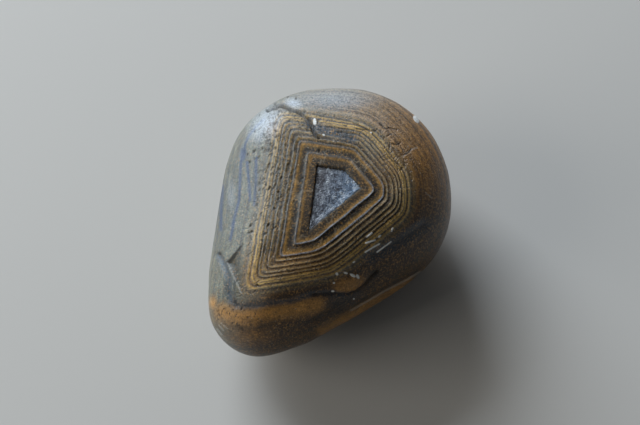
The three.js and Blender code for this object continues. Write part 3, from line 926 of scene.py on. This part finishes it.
# %% Fibres, grains, blotches and clouds
GRAIN_LIFT = 1.6  # the grain darkens the layers on average, so they are lifted again
fibre = grains(stretched(ring, 0.22, 0.22, 1.1), 2.0)
sand = grains(stretched(place_mm, 0.34, 0.34, 0.34), 4.0, 0.85)
blotch = grains(stretched(place_mm, 0.75, 0.75, 0.75), 3.0, 0.6)
cloud = grains(stretched(place_mm, 1.9, 1.9, 1.9), 4.0)
gold_share = calculate("SUBTRACT", 1.0, times(marked("leftward_grey_and_sheen"), 0.5))
gold_share = times(gold_share, rescale(sand, 0.53, 0.61, 0.0, 0.7))
layers = mix(gold_share, layers, colour("#c4924a"))
dark_share = calculate("SUBTRACT", 1.0, times(marked("leftward_grey_and_sheen"), 0.55))
dark_share = times(dark_share, rescale(sand, 0.47, 0.36, 0.0, 0.85))
layers = mix(dark_share, layers, colour("#1d160f"))
fibre_shade = times(rescale(fibre, 0.68, 0.32), rescale(band_number, 4.0, 8.0, 0.45, 0.1))
light = times(calculate("SUBTRACT", 1.0, fibre_shade), rescale(cloud, 0.3, 0.7, 0.68, 1.0))
light = times(light, rescale(blotch, 0.32, 0.62, 0.66, 1.0))
layers = mix(1.0, layers, light, "MULTIPLY")
layers = mix(1.0, layers, (GRAIN_LIFT, GRAIN_LIFT, GRAIN_LIFT, 1.0), "MULTIPLY")
# Thin seams of blue chalcedony stay clear of the iron
layers = mix(times(marked("blue"), 0.85), layers, colour("#31496a"))
# Painted sheen: pale blue highlights of the window on the upper left shoulder, the left edge and along the
# top
painted_sheen = times(marked("pale"), rescale(sand, 0.38, 0.56, 0.15, 0.9))
layers = mix(painted_sheen, layers, colour("#c3ced8"))
# A few grains catch the light
sparkle = add_node(tree, "ShaderNodeTexVoronoi", {
    "Vector": stretched(place_mm, 1.1, 1.1, 1.1), "Scale": 1.0})
sparkle = rescale(sparkle.outputs["Distance"], 0.03, 0.12, 0.6, 0.0)
layers = mix(sparkle, layers, colour("#d9cdb0"))
print("nodes so far:", len(tree.nodes))

# %% [markdown]
# ### Cracks and pits
# The edges between Voronoi cells make good cracks. A crack that healed is filled with pale quartz;
# an open one is painted dark as shade, and also goes into the bump below.

# %% Healed and open cracks, and the marks drawn above
healed = cell_edges(stretched(ring, 1.2, 1.2, 2.2))
healed = times(rescale(healed, 0.01, 0.05, 1.0, 0.0), rescale(cloud, 0.46, 0.6))
healed = times(healed, rescale(band_number, 4.5, 6.5, 0.4, 0.0))
layers = mix(healed, layers, colour("#a89c86"))

# Crazing: open cracks in all directions
bend = times(grains(stretched(place_mm, 0.8, 0.8, 0.8)), 0.45)
bent_place = add_node(tree, "ShaderNodeVectorMath", {
    0: stretched(place_mm, 1.2, 1.2, 1.2), 1: bend}, operation="ADD")
crazing = cell_edges(bent_place.outputs[0])
crazing = times(rescale(crazing, 0.02, 0.07, 1.0, 0.0), marked("crazed"))
crazing = times(crazing, rescale(blotch, 0.42, 0.56))
# Fine open cracks run across the outer bands, in short lengths
crossing = cell_edges(stretched(ring, 0.75, 0.75, 1.5))
crossing = times(rescale(crossing, 0.015, 0.06, 1.0, 0.0), rescale(blotch, 0.50, 0.58))
crossing = times(crossing, rescale(band_number, 2.0, 4.5, 0.2, 0.85))
crossing = times(crossing, rescale(band_number, 11.0, 8.5))
# Shallow slanted scratches
slanted = add_node(tree, "ShaderNodeMapping", {
    "Vector": place_mm, "Rotation": (0.0, 0.0, math.radians(52)), "Scale": (1.1, 0.36, 0.6)},
    vector_type="TEXTURE")
scratch = grains(slanted.outputs[0], 3.0, 0.55)
pits = times(rescale(scratch, 0.58, 0.64), marked("pitted"))
dark_marks_and_shade = calculate("MAXIMUM", times(crazing, 0.9), crossing)
dark_marks_and_shade = calculate("MAXIMUM", dark_marks_and_shade, pits)
dark_marks_and_shade = calculate("MAXIMUM", dark_marks_and_shade, marked("dark"))
# Painted shade: open cracks, pits and carved hollows are darkened, together with the real dark stains
layers = mix(times(dark_marks_and_shade, 0.85), layers, colour("#17130f"))
layers = mix(rescale(marked("white"), 0.0, 0.25, 0.0, 0.95), layers, colour("#f0f0ea"))
print("nodes so far:", len(tree.nodes))

# %% [markdown]
# ### Gloss
# Pores and scuffs are too shallow to model, and only scatter the gloss, so they are bump. The
# polish reached the ribs and not the treads between them, so the recess sets how rough it is.

# %% Bump, gloss and the finished shader
BUMP_DEPTH = 0.26  # mm
leather = grains(stretched(place_mm, 0.3, 0.3, 0.3), 3.0, 0.65)
height = calculate("MULTIPLY_ADD", sand, 0.5, times(leather, 0.45))
height = calculate("MULTIPLY_ADD", fibre, 0.12, height)
height = calculate("SUBTRACT", height, times(dark_marks_and_shade, 0.4))
bump = add_node(tree, "ShaderNodeBump", {
    "Height": height, "Strength": 1.0, "Distance": BUMP_DEPTH * MM}).outputs[0]
gloss = rescale(calculate("MULTIPLY_ADD", cloud, 0.25, marked("recess")), 0.0, 1.0, 0.25, 0.85)
shader = add_node(tree, "ShaderNodeBsdfPrincipled", {
    "Base Color": layers, "Roughness": gloss, "IOR": 1.54, "Specular IOR Level": 0.5, "Normal": bump})
add_node(tree, "ShaderNodeOutputMaterial", {"Surface": shader.outputs[0]})

stone.data.materials.clear()
stone.data.materials.append(agate)
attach(stone, "root")
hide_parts("agate_pebble")
print("agate material:", len(tree.nodes), "nodes")

# %% [markdown]
# ## The quartz crust
# Where the last hollow stayed open, clear quartz grew as a crust of small pointed crystals. One
# crystal is modelled: a six-sided prism with a six-sided point. It is copied all over the
# pocket's floor, each copy turned, leaned and sized its own way, over a thin sheet of quartz.

# %% Model one crystal
CRYSTAL_RADIUS = 0.125
CRYSTAL_LENGTH = 0.5
CRYSTAL_POINT = 0.12
bpy.ops.object.select_all(action="DESELECT")
bpy.ops.mesh.primitive_cylinder_add(vertices=6, radius=CRYSTAL_RADIUS * MM, depth=CRYSTAL_LENGTH * MM,
                                    end_fill_type="TRIFAN", location=(0, 0, 0))
crystal = bpy.context.active_object
bpy.ops.object.mode_set(mode="EDIT")
bpy.ops.mesh.select_all(action="DESELECT")
bpy.ops.object.mode_set(mode="OBJECT")
for vertex in crystal.data.vertices:
    on_axis = math.hypot(vertex.co.x, vertex.co.y) < 0.01 * MM
    vertex.select = on_axis and vertex.co.z > 0
bpy.ops.object.mode_set(mode="EDIT")
bpy.ops.transform.translate(value=(0, 0, CRYSTAL_POINT * MM))
bpy.ops.object.mode_set(mode="OBJECT")
crystal_points = np.array([vertex.co[:] for vertex in crystal.data.vertices]) / MM
crystal_faces = [tuple(face.vertices) for face in crystal.data.polygons]
bpy.data.objects.remove(crystal)
print("one crystal:", len(crystal_points), "points,", len(crystal_faces), "faces")

# %% [markdown]
# The crystals stand in rows, each moved a little off its place, with their points at one level.
# Towards the lower right edge the crust climbs the wall, so its points rise there.

# %% Stand crystals over the pocket's floor
CRYSTAL_SPACING = 0.175
CRYSTAL_SCATTER = 0.075
CRYSTAL_SIZES = (0.95, 1.5)
CRYSTAL_LEAN = 0.22
TIP_LEVEL = -1.30  # beside the smooth body
TIP_SCATTER = 0.05
LOWER_LIP = 0.30
LIP_WIDTH = 0.9
FLOOR_MARGIN = -0.05


def lip_rise(place):
    """The crust climbs to the pocket's lower right edge."""
    inside = -band_offset(place)
    away = place - BAND_MIDDLE
    lower_side = np.clip((away[:, 0] * 0.65 - away[:, 1] * 0.76) / 2.0, 0, 1)
    return LOWER_LIP * lower_side * np.clip(1 - inside / LIP_WIDTH, 0, 1)


grow = np.random.default_rng(3)
rows = np.arange(KITE_FOOT[1] - 1, KITE_TOP_LEFT[1] + 1, CRYSTAL_SPACING)
columns = np.arange(KITE_FOOT[0] - 1, KITE_RIGHT[0] + 1, CRYSTAL_SPACING)
feet = np.array([(u, v) for v in rows for u in columns])
feet = feet + grow.uniform(-CRYSTAL_SCATTER, CRYSTAL_SCATTER, feet.shape)
feet = feet[band_offset(feet) < FLOOR_MARGIN]
floor_way = unit(face_to_body(feet))
tip_reach = body_reach(floor_way) + TIP_LEVEL + lip_rise(feet)

points, faces = [], []
for way_up, reach in zip(floor_way, tip_reach):
    size = grow.uniform(*CRYSTAL_SIZES)
    lean = grow.normal(0, CRYSTAL_LEAN, 3)
    turn = grow.uniform(0, math.pi / 3)
    stand = unit(way_up + lean - (lean @ way_up) * way_up)
    aside_way = unit(np.cross(stand, [math.cos(turn), math.sin(turn), 0.3]))
    other_way = np.cross(stand, aside_way)
    tip = way_up * (reach + grow.uniform(-TIP_SCATTER, TIP_SCATTER))
    top = CRYSTAL_LENGTH / 2 + CRYSTAL_POINT
    local = crystal_points * [size, size, 1] - [0, 0, top]
    placed = tip + local[:, :1] * aside_way + local[:, 1:2] * other_way + local[:, 2:] * stand
    faces += [tuple(index + len(points) for index in face) for face in crystal_faces]
    points += list(placed)

crust_mesh = bpy.data.meshes.new("quartz_crystals")
crust_mesh.from_pydata([tuple((np.array(p) + MIDDLE) * MM) for p in points], [], faces)
crust = bpy.data.objects.new("quartz_crystals", crust_mesh)
bpy.context.collection.objects.link(crust)
print(len(feet), "crystals,", len(faces), "faces")

# %% [markdown]
# A sheet of quartz fills the gaps between the crystals. It starts as a flat disc, takes the
# pocket's outline, and is given its thickness by a Solidify modifier, which is then applied.

# %% Lay a sheet of quartz under them
SHEET_TOP = -1.52
SHEET_THICKNESS = 0.3
SHEET_SIDES = 120
SHEET_EDGE = -0.02
bpy.ops.object.select_all(action="DESELECT")
bpy.ops.mesh.primitive_circle_add(vertices=SHEET_SIDES, radius=1.0, fill_type="TRIFAN", location=(0, 0, 0))
sheet = bpy.context.active_object
bpy.ops.object.mode_set(mode="EDIT")
bpy.ops.mesh.subdivide(number_cuts=3)
bpy.ops.object.mode_set(mode="OBJECT")
flat = np.array([vertex.co[:2] for vertex in sheet.data.vertices])
sheet_angle = np.arctan2(flat[:, 1], flat[:, 0])
sheet_radius = np.hypot(flat[:, 0], flat[:, 1]) * band_radius(sheet_angle, np.full(len(flat), SHEET_EDGE))
sheet_out = np.stack([np.cos(sheet_angle), np.sin(sheet_angle)], axis=1)
sheet_place = BAND_MIDDLE + sheet_radius[:, None] * sheet_out
sheet_way = unit(face_to_body(sheet_place))
write_points(sheet, sheet_way * (body_reach(sheet_way) + SHEET_TOP)[:, None])
solidify = sheet.modifiers.new("thickness", "SOLIDIFY")
solidify.thickness = SHEET_THICKNESS * MM
solidify.offset = -1
select_only(sheet)
bpy.ops.object.modifier_apply(modifier=solidify.name)
select_only(crust)
sheet.select_set(True)
bpy.ops.object.join()
print("crust:", len(crust.data.polygons), "faces")

# %% [markdown]
# ## Sugary quartz
# Quartz is clear, but many small crystals scatter the light, like sugar, so the crust reads as a
# greyish white that is a little see-through. Some patches stay glassy and darker.

# %% Material: sugary quartz
crust_place = read_points(crust)
toward_lip = on_face(crust_place) - BAND_MIDDLE
# The crust turns bluer and lighter towards its lower right lip, partly painted reflection of the window
# that lights that side of the pocket
store(crust, "blue", np.clip(0.45 + toward_lip[:, 0] * 0.16 - toward_lip[:, 1] * 0.05, 0, 1))

quartz, tree = new_material("sugary_quartz")
place = add_node(tree, "ShaderNodeTexCoord", {}).outputs["Object"]
place_mm = stretched(place, MM, MM, MM)
clouds = grains(stretched(place_mm, 1.1, 1.1, 1.1), 4.0, 0.6)
sugar = grains(stretched(place_mm, 0.16, 0.16, 0.16), 2.0)
milky = mix(marked("blue"), colour("#8f8f93"), colour("#86a5c4"))
milky = mix(rescale(clouds, 0.5, 0.64, 0.0, 0.85), milky, colour("#dfe7ee"))
milky = mix(rescale(clouds, 0.49, 0.34, 0.0, 0.8), milky, colour("#504e55"))
milky = mix(1.0, milky, rescale(sugar, 0.32, 0.68, 0.4, 1.0), "MULTIPLY")
shader = add_node(tree, "ShaderNodeBsdfPrincipled", {
    "Base Color": milky, "Roughness": 0.42, "IOR": 1.544, "Transmission Weight": 0.08})
add_node(tree, "ShaderNodeOutputMaterial", {"Surface": shader.outputs[0]})
crust.data.materials.clear()
crust.data.materials.append(quartz)
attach(crust, "root")
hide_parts("quartz_crust")
print("quartz material:", len(tree.nodes), "nodes")

# %% [markdown]
# ## Floor and light
# The floor is plain and pale. The light in the photograph is one large, cool window, low and
# behind the stone on the left, so a large soft lamp stands there. A weaker one on the left keeps
# the near flank from going black, and the world gives a faint even fill.

# %% Floor
bpy.ops.object.select_all(action="DESELECT")
bpy.ops.mesh.primitive_plane_add(size=4.0, location=(0, 0, 0))
floor = bpy.context.active_object
floor.name = "studio_floor"
# Pale, matt studio paper
paper, tree = new_material("pale_paper")
shader = add_node(tree, "ShaderNodeBsdfPrincipled", {"Base Color": colour("#c6c3bc"), "Roughness": 0.9})
add_node(tree, "ShaderNodeOutputMaterial", {"Surface": shader.outputs[0]})
floor.data.materials.append(paper)
floor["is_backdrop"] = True
print("floor:", [round(side, 1) for side in floor.dimensions], "m")

# %% Lamps and the world's fill
LAMP_TARGET = Vector((0, 0, 0.012))
FILL_STRENGTH = 0.09


def soft_lamp(name, place_m, size, watts, hex_value):
    """A large square lamp that looks at the stone."""
    bpy.ops.object.light_add(type="AREA", location=place_m)
    lamp = bpy.context.active_object
    lamp.name = name
    lamp.data.size = size
    lamp.data.energy = watts
    lamp.data.color = colour(hex_value)[:3]
    lamp.rotation_euler = (LAMP_TARGET - Vector(place_m)).to_track_quat("-Z", "Y").to_euler()
    return lamp


soft_lamp("window", (-0.38, 0.62, 0.36), 0.55, 11.5, "#e2ecf8")
soft_lamp("side", (-0.70, -0.16, 0.30), 0.5, 2.8, "#f2f0ec")
world = bpy.data.worlds.new("studio")
bpy.context.scene.world = world
world.use_nodes = True
world.node_tree.nodes["Background"].inputs["Color"].default_value = colour("#dfe4ea")
world.node_tree.nodes["Background"].inputs["Strength"].default_value = FILL_STRENGTH
bpy.context.scene.view_settings.view_transform = "Standard"

# %% [markdown]
# ## Last measure
# The dressed stone is meant to keep the imported one's size, to about a tenth of a millimetre, so
# both boxes are printed.

# %% Sizes
dressed_box = [list(corner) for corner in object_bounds()]
for name, box in (("cad", cad_box), ("dressed", dressed_box)):
    print(name, "box in mm:", [[round(v / MM, 2) for v in corner] for corner in box])
